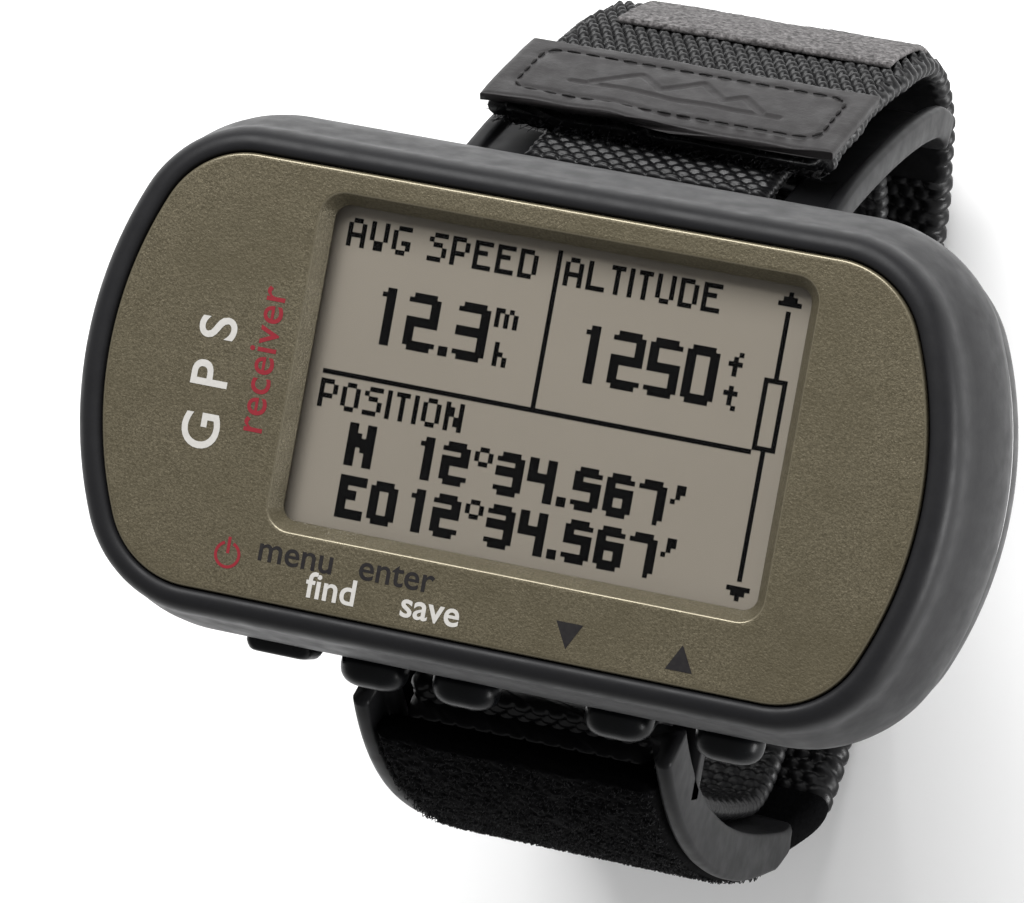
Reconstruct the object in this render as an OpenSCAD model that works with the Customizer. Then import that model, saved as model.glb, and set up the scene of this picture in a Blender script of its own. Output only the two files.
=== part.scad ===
// Wrist-worn GPS receiver on a hook-and-loop strap, resting display up on its closed strap loop.
// X runs along the case to the right of the display, Y towards the top of the display,
// Z out of the display. Z = 0 is the flat underside of the strap loop.

/* [Case] */
// Length of the case
case_len = 72; // [71:0.5:78]
// Width of the case across the display, without the keys
case_wid = 40; // [39.5:0.25:42]
// Depth of the case from the face to the back
case_deep = 23; // [22.5:0.25:24]
// Height of the face above the underside of the strap loop
face_z = 71; // [66:0.5:71.5]

/* [Display] */
// Width of the window opening in the face
win_w = 38.6; // [36:0.1:40]
// Height of the window opening in the face
win_h = 25.2; // [23:0.1:26]
// Distance of the display from the middle of the case, to the right
lcd_x = 2.3; // [1:0.1:3]
// Distance of the display from the middle of the case, upwards
lcd_y = 1.9; // [1:0.1:2]

/* [Keys] */
// Distance that a domed key stands proud of the case
key_proud = 2.2; // [1.9:0.1:2.4]
// Distance that the flat power key stands proud of the case
flat_proud = 1; // [0.6:0.1:1.4]

/* [Strap] */
// Half the outer width of the strap loop across the wrist
loop_half = 35; // [34:0.5:36]
// Height of the widest point of the loop
loop_mid = 17; // [16:0.5:19]
// Width of the upper strap wing and of both feet
wing_w = 31; // [30.5:0.5:34]
// Width of the lower strap wing
low_w = 26; // [25:0.5:27]
// Width of the hook-and-loop band
band_w = 28; // [26:0.5:29]
// Width of the band where it lies on the lower wing
pile_w = 23; // [21:0.5:24]
// Width of the webbing that runs through the wing slots
web_w = 20; // [18:0.5:20.5]
// Width of the end tab
tab_w = 29; // [26:0.5:30]

/* [Battery] */
// Diameter of a battery
cell_d = 10.4; // [10:0.05:10.5]
// Length of a battery's can
cell_len = 43.5; // [43:0.1:43.7]

/* [Hidden] */
$fn = 64;

// Overlap of pieces that are joined
eps = 0.01;

half_len = case_len / 2;
half_wid = case_wid / 2;
back_z = face_z - case_deep;

// Levels of the layers, counted up from the back of the case
floor_top = back_z + 3.2;
seam_z = back_z + 8;
board_z = back_z + 14.6;
board_t = 1.2;
deck_z = face_z - 3;
panel_t = 1.3;

// Battery bay
cell_y = 5.5;
cell_z = back_z + 7.5;
bay_l = 47.4;
bay_w = 22.4;
bay_top = back_z + 12.9;

// Battery door
door_l = 50;
door_w = 24;
door_t = 1.5;
tongue_x = 27.8;
tongue_r = 3.6;

// Screws
screw_x = 27.6;
screw_y = 10.8;
wing_screw_x = 12.8;
wing_screw_y = 15;

// Keys, from left to right
key_xs = [-17.9, -10.4, -2.9, 9.4, 18.2];
key_z = back_z + 11.4;
key_w = 5.4;
key_h = 4.2;
key_reach = half_wid - 15.9;

// Socket for the cable
usb_x = -28.9;

// Layers of the strap loop, as depths below its outer surface
band_t = 2.6;
panel_skin = 0.6;
wing_s = 2.8;
wing_t = 2;
rim_w = 1.4;
web_s = 5;
web_t = 1.6;
fold_s = 1;
tail_sink = 2.8;

// Angles round the loop: 0 at the top of the display, -90 under the wrist, -180 at its foot
wing_end = 43;
web_end = 41;
foot_end = -225.5;
tail_lo = 18;
tail_hi = 37.6;
tab_lo = 27;

// ---------- outlines ----------

// Points along an arc about [x, y]
function arc(x, y, r, a0, a1, n) = [for (i = [0:n]) let (t = a0 + (a1 - a0) * i / n) [x + r * cos(t), y + r * sin(t)]];

// Case outline: straight long sides, bulging ends of radius re, corners of radius rc
module d_shape(a, b, re, rc) {
    ox = a - re;
    oy = b - rc;
    cx = ox + sqrt(pow(re - rc, 2) - pow(oy, 2));
    ang = atan2(oy, cx - ox);
    upper = concat(arc(ox, 0, re, 0, ang, 4), arc(cx, oy, rc, ang + 9, 90, 6));
    right = concat([for (i = [len(upper) - 1:-1:1]) [upper[i][0], -upper[i][1]]], upper);
    polygon(concat(right, [for (p = right) -p]));
}

// Case outline drawn in by a distance
module case_shape(inset = 0) {
    d_shape(half_len - inset, half_wid - inset, 33 - inset, max(11.5 - inset, 4));
}

// Rounded rectangle with true arcs
module round_rect(w, h, r) {
    square([w - 2 * r, h], center = true);
    square([w, h - 2 * r], center = true);
    for (x = [-1, 1], y = [-1, 1]) translate([x * (w / 2 - r), y * (h / 2 - r)]) circle(r);
}

// Layer between two heights
module slab(z0, z1) {
    translate([0, 0, z0]) linear_extrude(z1 - z0) children();
}

module at_display() {
    translate([lcd_x, lcd_y, 0]) children();
}

// Point on the strap loop at angle t, a depth s under its outer surface, as [y, z]
function power(v, e) = sign(v) * pow(abs(v), e);
function loop_pt(s, t) =
    let (up = sin(t) >= 0, top = cos(t) >= 0, e = up ? (top ? 1.5 : 0.8) : 0.833,
        high = (up ? face_z - loop_mid + (top ? 6 : -6) : loop_mid + 0.6) - s)
    [(loop_half - s) * power(cos(t), e), max(loop_mid + high * power(sin(t), e), s)];

// Ease from 0 at a to 1 at b
function ease(t, a, b) = let (u = min(max((t - a) / (b - a), 0), 1)) u * u * (3 - 2 * u);

// How far the layers under the tail are set in, to make room for it and the folded webbing
function sink(t) = tail_sink * ease(t, -60, -15);

// Band round the loop between depths s0 and s1, from angle t0 to t1
module loop_band(s0, s1, t0, t1, w, steps = 24, sunk = 0) {
    outer = [for (i = [0:steps]) let (t = t0 + (t1 - t0) * i / steps) loop_pt(s0 + sunk * sink(t), t)];
    inner = [for (i = [steps:-1:0]) let (t = t0 + (t1 - t0) * i / steps) loop_pt(s1 + sunk * sink(t), t)];
    rotate([90, 0, 90]) linear_extrude(w, center = true) polygon(concat(outer, inner));
}

// ---------- front of the case ----------

// Coloured face with the window opening
module face_panel() {
    color([0.42, 0.39, 0.3]) difference() {
        slab(face_z - panel_t, face_z) d_shape(32, 16.5, 30, 7.2);
        at_display() slab(face_z - 2, face_z + 1) round_rect(win_w, win_h, 1.6);
    }
}

// Holes for the stems of the keys
module key_holes() {
    for (x = key_xs) translate([x, -half_wid, key_z]) cube([4.9, 9, 3.7], center = true);
}

// Rubber surround with a rounded crown, which wraps the side down to the seam
module front_bezel() {
    color([0.13, 0.13, 0.14]) difference() {
        hull() {
            slab(seam_z, seam_z + 0.1) case_shape(0.6);
            slab(seam_z + 4, face_z - 7) case_shape();
            slab(face_z - 2.7, face_z - 2.6) case_shape(1.4);
            slab(face_z - 0.5, face_z - 0.4) case_shape(2.1);
        }
        slab(face_z - 1.4, face_z + 1) d_shape(32.1, 16.6, 30.1, 7.3);
        slab(seam_z - 1, face_z - 1.2) d_shape(33.6, 17.75, 31, 9.6);
        key_holes();
        for (x = key_xs) translate([x, -half_wid, key_z]) cube([key_w + 0.6, 2.2, key_h + 0.6], center = true);
    }
}

// Moulded front shell inside the rubber: display deck and side wall with the key holes
module front_case() {
    color([0.2, 0.2, 0.21]) difference() {
        slab(seam_z, face_z - 1.4) d_shape(33.5, 17.65, 30.9, 9.5);
        difference() {
            slab(seam_z - 1, deck_z) d_shape(32.1, 15.95, 30, 7.5);
            for (x = [-screw_x, screw_x], y = [-screw_y, screw_y])
                translate([x, y, board_z + board_t + 0.05]) cylinder(r = 1.7, h = 10);
        }
        at_display() slab(deck_z - 1, face_z) round_rect(44, 30, 1.2);
        for (x = [-screw_x, screw_x], y = [-screw_y, screw_y])
            translate([x, y, board_z]) cylinder(r = 0.75, h = 4.2);
        key_holes();
    }
}

module display_window() {
    color([0.8, 0.84, 0.84, 0.4]) at_display()
        slab(face_z - 2.5, face_z - 1.45) round_rect(43.4, 29.4, 1);
}

module lcd_module() {
    color([0.58, 0.57, 0.53]) at_display()
        slab(face_z - 4.4, face_z - 2.6) square([40, 26.4], center = true);
}

module backlight_guide() {
    color([0.9, 0.9, 0.86]) at_display()
        slab(face_z - 5.4, face_z - 4.5) square([39, 25.4], center = true);
}

// Tray that holds the display and its light guide
module lcd_frame() {
    color([0.16, 0.16, 0.17]) at_display() difference() {
        slab(face_z - 6.6, face_z - 3.2) round_rect(41.8, 27.9, 1);
        slab(face_z - 5.5, face_z) square([40.3, 26.7], center = true);
    }
}

// ---------- electronics ----------

module main_board() {
    color([0.1, 0.35, 0.18]) difference() {
        slab(board_z, board_z + board_t) d_shape(31.8, 15.5, 29.5, 7);
        for (x = [-screw_x, screw_x], y = [-screw_y, screw_y])
            translate([x, y, board_z - 1]) cylinder(r = 0.95, h = 4);
    }
}

// Narrow board that stands along the keys
module key_board() {
    color([0.1, 0.35, 0.18]) translate([-21, -13, back_z + 8.6]) cube([42, 0.6, 5.9]);
}

module tact_switches() {
    for (x = key_xs) translate([x, -13.05, key_z]) rotate([90, 0, 0]) {
        color([0.75, 0.75, 0.72]) translate([-1.9, -1.5, 0]) cube([3.8, 3, 1]);
        color([0.15, 0.15, 0.15]) translate([0, 0, 1 - eps]) cylinder(r = 0.8, h = 0.25);
    }
}

module shield_can() {
    color([0.75, 0.76, 0.78]) translate([25, -7.5, board_z - 2.6]) difference() {
        cube([5.6, 15, 2.5]);
        translate([0.3, 0.3, 0.3]) cube([5, 14.4, 3]);
    }
}

// Ceramic patch aerial with its feed pin head
module gps_antenna() {
    color([0.8, 0.74, 0.6]) translate([-26.6, 0, board_z + board_t]) {
        translate([-4.4, -6, 0.05]) cube([10, 12, 3.2]);
        translate([0.6, 0, 3.2]) cylinder(r = 0.9, h = 0.5);
    }
}

module buzzer() {
    color([0.12, 0.12, 0.12]) translate([28.2, 0, board_z + board_t + 0.05]) difference() {
        cylinder(r = 3.4, h = 2.4);
        translate([0, 0, 1.8]) cylinder(r = 0.6, h = 1);
    }
}

module pressure_sensor() {
    color([0.8, 0.8, 0.78]) translate([-28.4, 6.9, board_z - 1.65]) difference() {
        translate([-1.9, -1.9, 0]) cube([3.8, 3.8, 1.6]);
        translate([0, 0, -1]) cylinder(r = 0.6, h = 1.6);
    }
}

// Mini USB socket, its mouth towards the back
module usb_socket() {
    color([0.78, 0.79, 0.8]) translate([usb_x, 0, back_z + 2.2]) difference() {
        translate([-1.95, -3.85, 0]) cube([3.9, 7.7, 9.2]);
        translate([-1.55, -3.45, -1]) cube([3.1, 6.9, 7.5]);
    }
}

module board_screws() {
    color([0.7, 0.7, 0.68]) for (p = [[-22.6, 12.6], [-22.6, -12.6], [27.6, 6.6], [27.6, -6.6]])
        translate([p[0], p[1], board_z + board_t + 0.02]) difference() {
            cylinder(r = 1.3, h = 0.9);
            translate([0, 0, 0.5]) cylinder(r = 0.5, h = 1);
        }
}

// ---------- back of the case ----------

// Seal between the two halves, in a groove of the rear case
module case_gasket() {
    color([0.35, 0.35, 0.36]) difference() {
        slab(seam_z - 0.9, seam_z - 0.02) d_shape(34.7, 18.6, 32, 10.5);
        slab(seam_z - 2, seam_z + 1) d_shape(33.9, 17.7, 31.1, 9.6);
    }
}

module door_shape(grow = 0) {
    round_rect(door_l + 2 * grow, door_w + 2 * grow, 2);
    translate([tongue_x / 2, 0]) square([tongue_x, 2 * (tongue_r + grow)], center = true);
    translate([tongue_x, 0]) circle(tongue_r + grow);
}

// Tub with the battery bay, the door recess and the socket hole
module rear_case() {
    color([0.1, 0.1, 0.11]) difference() {
        union() {
            hull() {
                slab(seam_z - 0.1, seam_z) case_shape(0.8);
                slab(back_z + 3.4, back_z + 3.5) case_shape(1.2);
                slab(back_z + 1, back_z + 1.1) case_shape(2.1);
                slab(back_z, back_z + 0.1) case_shape(3.3);
            }
            slab(floor_top, bay_top + 0.9) round_rect(bay_l + 2, bay_w + 2, 1);
            for (x = [-screw_x, screw_x], y = [-screw_y, screw_y])
                translate([x, y, floor_top]) cylinder(r = 1.6, h = board_z - floor_top - 0.05);
        }
        difference() {
            slab(floor_top, seam_z + 1) d_shape(33.4, 17.2, 30.6, 9.1);
            slab(floor_top - 1, seam_z + 2) round_rect(bay_l + 2, bay_w + 2, 1);
            translate([tongue_x, 0, floor_top - 1]) cylinder(r = 3, h = 4);
            for (x = [-screw_x, screw_x], y = [-screw_y, screw_y])
                translate([x, y, floor_top - 1]) cylinder(r = 1.6, h = 10);
        }
        slab(seam_z - 0.9, seam_z + 1) difference() {
            d_shape(34.7, 18.6, 32, 10.5);
            d_shape(33.9, 17.7, 31.1, 9.6);
        }
        slab(back_z - 1, bay_top) round_rect(bay_l, bay_w, 0.8);
        slab(back_z - 1, back_z + 2.15) door_shape(0.15);
        translate([tongue_x, 0, back_z]) cylinder(r = 1.6, h = 6);
        translate([usb_x, 0, back_z]) cube([4.6, 8.4, 20], center = true);
        slab(back_z - 1, back_z + 1.2) usb_recess(0.15);
        for (x = [-screw_x, screw_x], y = [-screw_y, screw_y]) translate([x, y, back_z - 1]) {
            cylinder(r = 1.5, h = 2.4);
            cylinder(r = 0.95, h = 20);
        }
        for (x = [-wing_screw_x, wing_screw_x], y = [-wing_screw_y, wing_screw_y])
            translate([x, y, back_z - 1]) cylinder(r = 0.7, h = 3.8);
    }
}

module case_screws() {
    color([0.55, 0.55, 0.56])
        for (x = [-screw_x, screw_x], y = [-screw_y, screw_y]) translate([x, y, back_z + 0.3]) difference() {
            union() {
                cylinder(r = 1.4, h = 1.1);
                cylinder(r = 0.73, h = 17);
            }
            translate([0, 0, -0.01]) cylinder(r = 0.6, h = 0.6);
        }
}

// One battery, its nub at the end that turn points to
module battery(turn) {
    rotate([0, turn * 90, 0]) {
        color([0.75, 0.6, 0.3]) translate([0, 0, -22.25]) cylinder(d = cell_d, h = cell_len);
        color([0.8, 0.8, 0.8]) translate([0, 0, cell_len - 22.25 - eps]) cylinder(r = 1.9, h = 1);
    }
}

module battery_left() {
    translate([0, cell_y, cell_z]) battery(-1);
}

module battery_right() {
    translate([0, -cell_y, cell_z]) battery(1);
}

// Pressed coil contacts at each battery's flat end
module spring_contacts() {
    color([0.8, 0.8, 0.82]) for (side = [-1, 1])
        translate([side * 23.62, -side * -cell_y, cell_z]) rotate([0, -side * 90, 0]) {
            translate([-3.5, -3.5, 0]) cube([7, 7, 0.25]);
            for (i = [0:1]) translate([0, 0, 0.5 + i * 0.45])
                rotate_extrude() translate([2.9 - 0.5 * i, 0]) circle(0.24, $fn = 16);
            translate([-0.3, 2, 0.2]) cube([0.6, 0.6, 0.8]);
        }
}

// Plain contacts at each battery's nub end
module plate_contacts() {
    color([0.8, 0.8, 0.82]) for (side = [-1, 1])
        translate([side * 23.62, side * -cell_y, cell_z]) rotate([0, -side * 90, 0]) {
            translate([-3.5, -3.5, 0]) cube([7, 7, 0.3]);
            cylinder(r = 1.2, h = 1.3);
        }
}

module battery_door() {
    color([0.11, 0.11, 0.12]) difference() {
        slab(back_z, back_z + door_t) door_shape();
        translate([tongue_x, 0, back_z - 1]) cylinder(r = 1.65, h = 4);
        for (i = [-2:2]) translate([i * 5 - 2, 0, back_z - 0.01]) translate([-0.5, -7, 0]) cube([1, 14, 0.4]);
    }
}

module door_gasket() {
    color([0.3, 0.3, 0.31]) slab(back_z + door_t, back_z + 2.1) difference() {
        round_rect(bay_l + 2, bay_w + 1.4, 1.4);
        round_rect(bay_l + 0.2, bay_w + 0.1, 0.8);
    }
}

// Captive screw of the door, with ears for the ring
module door_screw() {
    color([0.6, 0.6, 0.62]) translate([tongue_x, 0, back_z]) difference() {
        union() {
            translate([0, 0, -1.5]) cylinder(r = 3.3, h = 1.4);
            translate([0, 0, -0.2]) cylinder(r = 1.5, h = 5.6);
        }
        translate([-4, -0.45, -2]) cube([8, 0.9, 1]);
        for (y = [-1, 1]) translate([0, y * 3.3, -0.8]) rotate([90, 0, 0]) cylinder(r = 0.42, h = 1.8, center = true);
    }
}

// Fold-down ring that turns the screw
module d_ring() {
    color([0.7, 0.7, 0.72]) translate([tongue_x, 0, back_z - 0.8]) {
        intersection() {
            rotate_extrude() translate([4.3, 0]) circle(0.38, $fn = 24);
            translate([-10, -5, -2]) cube([10, 10, 4]);
        }
        for (y = [-1, 1]) translate([0, y * 3.5, 0]) rotate([90, 0, 0]) cylinder(r = 0.36, h = 1.9, center = true);
        for (y = [-1, 1]) translate([0, y * 4.3, 0]) sphere(0.38, $fn = 24);
    }
}

module usb_recess(grow = 0) {
    translate([usb_x, 0.5]) round_rect(5.6 + 2 * grow, 12 + 2 * grow, 1.2);
}

// Rubber cap over the socket, hinged at its upper edge
module usb_cap() {
    color([0.08, 0.08, 0.09]) {
        slab(back_z, back_z + 1.1) usb_recess();
        translate([usb_x, 0, back_z + 1.35]) cube([3.4, 6.6, 0.8], center = true);
        translate([usb_x, -5, back_z - 0.15]) cube([3, 1, 0.5], center = true);
    }
}

// ---------- keys ----------

// Rubber key that stands proud of the lower side, with its stem and inner flange
module side_key(x, proud, r) {
    color([0.12, 0.12, 0.13]) translate([x, -half_wid, key_z]) {
        intersection() {
            hull() for (dx = [-1, 1]) translate([dx * (key_w / 2 - r), r - proud, 0]) {
                sphere(r, $fn = 28);
                rotate([-90, 0, 0]) cylinder(r = r, h = proud, $fn = 28);
            }
            translate([-key_w, -2 * proud, -key_h]) cube([2 * key_w, 2 * proud + 0.3, 2 * key_h]);
        }
        key_stem();
    }
}

// Stem through the side wall, inner flange and the nib that presses the switch
module key_stem() {
    translate([-2.3, 0.2, -1.7]) cube([4.6, key_reach + 0.15, 3.4]);
    translate([-2.8, key_reach, -2]) cube([5.6, 0.7, 4]);
    translate([0, key_reach + 0.65, 0]) rotate([-90, 0, 0]) cylinder(r = 0.7, h = 0.4);
}

// Flat rubber pad with the same stem
module flat_key(x, proud) {
    color([0.12, 0.12, 0.13]) translate([x, -half_wid, key_z]) {
        hull() for (dx = [-1, 1], dz = [-1, 1]) {
            translate([dx * (key_w / 2 - 0.9), 0, dz * (key_h / 2 - 0.9)]) rotate([90, 0, 0])
                cylinder(r = 0.6, h = proud, $fn = 20);
            translate([dx * (key_w / 2 - 0.7), 0.3, dz * (key_h / 2 - 0.7)]) rotate([90, 0, 0])
                cylinder(r = 0.7, h = 0.4 + proud / 2, $fn = 20);
        }
        key_stem();
    }
}

module key_power() { flat_key(key_xs[0], flat_proud); }
module key_page() { side_key(key_xs[1], key_proud, key_h / 2); }
module key_enter() { side_key(key_xs[2], key_proud, key_h / 2); }
module key_down() { side_key(key_xs[3], key_proud, key_h / 2); }
module key_up() { side_key(key_xs[4], key_proud, key_h / 2); }

// ---------- strap ----------

// Curved wing of width w from angle t0 to t1, with a foot under the case on the side that side
// points to, out to a distance reach, and a slot for the webbing from angle cut0 to cut1
module wing(w, t0, t1, side, reach, cut0, cut1) {
    color([0.1, 0.1, 0.11]) difference() {
        union() {
            loop_band(wing_s, wing_s + wing_t, t0, t1, w, 28, 1);
            translate([0, side * 15.75, back_z - 0.925]) cube([wing_w, 5.7, 1.75], center = true);
            translate([0, side * (reach + 12.9) / 2, back_z - 0.925]) cube([w, reach - 12.9, 1.75], center = true);
        }
        loop_band(0, web_s + 7, cut0, cut1, web_w + 1, 6);
        for (x = [-wing_screw_x, wing_screw_x], y = [-wing_screw_y, wing_screw_y])
            translate([x, y, back_z - 3]) {
                cylinder(r = 0.95, h = 4);
                cylinder(r = 1.5, h = 2.2);
            }
    }
}

module upper_wing() { wing(wing_w, -20, wing_end, 1, 18.6, wing_end - 9, wing_end + 1); }
module lower_wing() {
    wing(low_w, foot_end - 6, -164, -1, 26.6, foot_end - 8, foot_end + 9);
    // Rims that hold the pile band between them
    color([0.1, 0.1, 0.11]) for (x = [-1, 1]) translate([x * (low_w / 2 - rim_w / 2), 0, 0])
        loop_band(0.4, wing_s + 0.1, foot_end - 6, -164, rim_w, 24);
}

module wing_screws() {
    color([0.55, 0.55, 0.56])
        for (x = [-wing_screw_x, wing_screw_x], y = [-wing_screw_y, wing_screw_y])
            translate([x, y, back_z - 1.75]) difference() {
                union() {
                    cylinder(r = 1.35, h = 0.95);
                    cylinder(r = 0.66, h = 4.2);
                }
                translate([0, 0, -0.01]) cylinder(r = 0.55, h = 0.5);
            }
}

// Webbing inside the wings, through the upper slot and folded back over the upper wing
module strap_webbing() {
    color([0.07, 0.07, 0.07]) {
        loop_band(web_s, web_s + web_t, foot_end, web_end, web_w, 56, 1);
        loop_band(fold_s, web_s + web_t, web_end - 2.5, web_end, web_w, 2, 1);
        loop_band(fold_s, fold_s + web_t, 29, web_end, web_w, 8, 1);
        loop_band(band_t + 0.05, web_s + web_t, foot_end, foot_end + 3, web_w, 2);
        loop_band(web_s - 0.6, web_s + web_t - 0.2, foot_end - 3.5, foot_end + 0.1, web_w, 3);
    }
}

// Band with loop pile outside, from the lower slot round under the wrist to the top
module pile_band() {
    color([0.06, 0.06, 0.06]) {
        loop_band(0, band_t, foot_end, -150, pile_w, 24);
        loop_band(0, band_t, -150 - eps, -45, band_w, 20);
        loop_band(panel_skin, band_t, -45 - eps, tail_lo - 0.8, band_w, 12);
    }
}

module suede_panel() {
    color([0.3, 0.3, 0.3]) loop_band(0, panel_skin - 0.02, -38, tail_lo - 1.5, band_w - 2, 12);
}

// Free end of the band, which lies over the folded webbing
module strap_tail() {
    color([0.07, 0.07, 0.07]) loop_band(panel_skin, band_t, tail_lo, tail_hi, band_w, 18);
}

module hook_patch() {
    color([0.05, 0.05, 0.05]) loop_band(band_t + 0.05, band_t + 0.9, 31, tail_hi - 0.6, band_w - 2, 6);
}

module end_tab() {
    color([0.2, 0.19, 0.19]) loop_band(panel_skin - 1, panel_skin - 0.05, tab_lo, tail_hi + 1, tab_w, 12);
}

face_panel();
front_bezel();
front_case();
display_window();
lcd_module();
backlight_guide();
lcd_frame();
main_board();
key_board();
tact_switches();
shield_can();
gps_antenna();
buzzer();
pressure_sensor();
usb_socket();
board_screws();
case_gasket();
rear_case();
case_screws();
battery_left();
battery_right();
spring_contacts();
plate_contacts();
battery_door();
door_gasket();
door_screw();
d_ring();
usb_cap();
key_power();
key_page();
key_enter();
key_down();
key_up();
upper_wing();
lower_wing();
wing_screws();
strap_webbing();
pile_band();
suede_panel();
strap_tail();
hook_patch();
end_tab();
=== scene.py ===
"""Looks of the wrist-worn GPS receiver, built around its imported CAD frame. Lengths are in millimetres until put()."""

import math

import bmesh
import bpy
import numpy as np
from mathutils import Matrix, Vector
from mathutils.geometry import tessellate_polygon


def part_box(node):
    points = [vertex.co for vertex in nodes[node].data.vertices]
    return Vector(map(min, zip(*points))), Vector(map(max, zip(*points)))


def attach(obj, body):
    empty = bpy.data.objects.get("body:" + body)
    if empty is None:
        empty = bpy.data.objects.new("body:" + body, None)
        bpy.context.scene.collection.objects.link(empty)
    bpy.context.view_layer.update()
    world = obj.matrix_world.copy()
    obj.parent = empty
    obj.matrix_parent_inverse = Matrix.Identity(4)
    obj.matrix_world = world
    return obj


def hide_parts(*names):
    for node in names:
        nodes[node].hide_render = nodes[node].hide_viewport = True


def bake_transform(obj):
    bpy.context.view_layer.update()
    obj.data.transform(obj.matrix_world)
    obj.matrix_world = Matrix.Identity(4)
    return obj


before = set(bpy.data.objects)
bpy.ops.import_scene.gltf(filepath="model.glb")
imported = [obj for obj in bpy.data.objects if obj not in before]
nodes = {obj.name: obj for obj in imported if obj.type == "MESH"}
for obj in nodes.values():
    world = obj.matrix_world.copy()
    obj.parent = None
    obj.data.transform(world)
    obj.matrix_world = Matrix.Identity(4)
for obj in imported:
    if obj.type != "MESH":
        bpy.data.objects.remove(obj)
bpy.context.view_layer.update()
MM = 0.001


def box_mm(node):
    """Opposite corners of a node's box."""
    lo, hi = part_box(node)
    return np.array(lo) / MM, np.array(hi) / MM


# ---------- levels and sizes, from the frame ----------

panel_lo, panel_hi = box_mm("face_panel")
bezel_lo, rear_lo = box_mm("front_bezel")[0], box_mm("rear_case")[0]
lcd_lo, lcd_hi = box_mm("lcd_module")
lens_lo, lens_hi = box_mm("display_window")
FACE = panel_hi[2]
PANEL_BACK = panel_lo[2]
BACK = rear_lo[2]
SEAM = bezel_lo[2]
LCD = (lcd_lo[:2] + lcd_hi[:2]) / 2
# Outlines: half length, half width, end radius, corner radius
CASE = (36.0, 20.0, 33.0, 11.5)
POCKET = (32.1, 16.6, 30.1, 7.3)
PANEL = (32.0, 16.5, 30.0, 7.2)
INNER = (33.6, 17.75, 31.0, 9.6)
POCKET_DEEP = 1.35


def add_object(name, data):
    obj = bpy.data.objects.new(name, data)
    bpy.context.scene.collection.objects.link(obj)
    return obj


# ---------- camera ----------


def add_camera():
    """A camera far in front of the display, turned by yaw, pitch and roll in radians."""
    yaw, pitch, roll = 0.299025, 0.038724, 0.179228
    far, shift_x, shift_y = 443.78, -0.471, 1.971
    sensor, focal_share = 36, 6000 / 1024
    back = Vector((math.sin(yaw) * math.cos(pitch), math.sin(pitch), math.cos(yaw) * math.cos(pitch)))
    right = Vector((math.cos(yaw), 0, -math.sin(yaw)))
    up = back.cross(right)
    x = right * math.cos(roll) + up * math.sin(roll)
    y = up * math.cos(roll) - right * math.sin(roll)
    place = Vector((0, 0, FACE)) + back * far - x * shift_x - y * shift_y
    data = bpy.data.cameras.new("photo_camera")
    data.sensor_width = sensor
    data.lens = sensor * focal_share
    data.clip_start, data.clip_end = 0.01, 20
    cam = add_object("photo_camera", data)
    cam.matrix_world = Matrix.Translation(place * MM) @ Matrix((x, y, back)).transposed().to_4x4()
    bpy.context.scene.camera = cam


# ---------- materials ----------


def material(name, color, rough=0.5, metallic=0.0, specular=0.5, mottle=(), bumps=(), sheen=0.0, coat=0.0,
        rough_var=0.0):
    """A principled material. mottle rows are (size mm, colour, share); bumps are (size mm, height mm).
    rough_var is how far its roughness varies either way."""
    mat = bpy.data.materials.new(name)
    mat.use_nodes = True
    tree = mat.node_tree
    new, link = tree.nodes.new, tree.links.new
    shader = tree.nodes["Principled BSDF"]
    shader.inputs["Roughness"].default_value = rough
    shader.inputs["Metallic"].default_value = metallic
    shader.inputs["Specular IOR Level"].default_value = specular
    shader.inputs["Base Color"].default_value = (*color, 1)
    if sheen:
        shader.inputs["Sheen Weight"].default_value = sheen
        shader.inputs["Sheen Roughness"].default_value = 0.45
    if coat:
        shader.inputs["Coat Weight"].default_value = coat
        shader.inputs["Coat Roughness"].default_value = 0.25
    where = new("ShaderNodeTexCoord").outputs["Object"]

    def noise(size, detail=2.0):
        at = new("ShaderNodeMapping")
        at.inputs["Scale"].default_value = [1 / (size * MM)] * 3
        link(where, at.inputs["Vector"])
        tex = new("ShaderNodeTexNoise")
        tex.inputs["Scale"].default_value = 1
        tex.inputs["Detail"].default_value = detail
        link(at.outputs["Vector"], tex.inputs["Vector"])
        return tex.outputs["Fac"]

    def ramp_of(value, lows, highs):
        ramp = new("ShaderNodeMapRange")
        ramp.inputs["From Min"].default_value, ramp.inputs["From Max"].default_value = lows
        ramp.inputs["To Min"].default_value, ramp.inputs["To Max"].default_value = highs
        link(value, ramp.inputs["Value"])
        return ramp.outputs["Result"]

    last = None
    for size, other, share in mottle:
        mix = new("ShaderNodeMix")
        mix.data_type = "RGBA"
        link(ramp_of(noise(size), (0.32, 0.68), (0, share)), mix.inputs["Factor"])
        if last is None:
            mix.inputs["A"].default_value = (*color, 1)
        else:
            link(last, mix.inputs["A"])
        mix.inputs["B"].default_value = (*other, 1)
        last = mix.outputs["Result"]
    if last is not None:
        link(last, shader.inputs["Base Color"])
    if rough_var:
        link(ramp_of(noise(1.7, 3), (0.3, 0.7), (rough - rough_var, rough + rough_var)), shader.inputs["Roughness"])
    normal = None
    for size, height in bumps:
        bump = new("ShaderNodeBump")
        bump.inputs["Strength"].default_value = 1
        bump.inputs["Distance"].default_value = height * MM
        link(noise(size, 3), bump.inputs["Height"])
        if normal is not None:
            link(normal, bump.inputs["Normal"])
        normal = bump.outputs["Normal"]
    if normal is not None:
        link(normal, shader.inputs["Normal"])
    return mat


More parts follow.
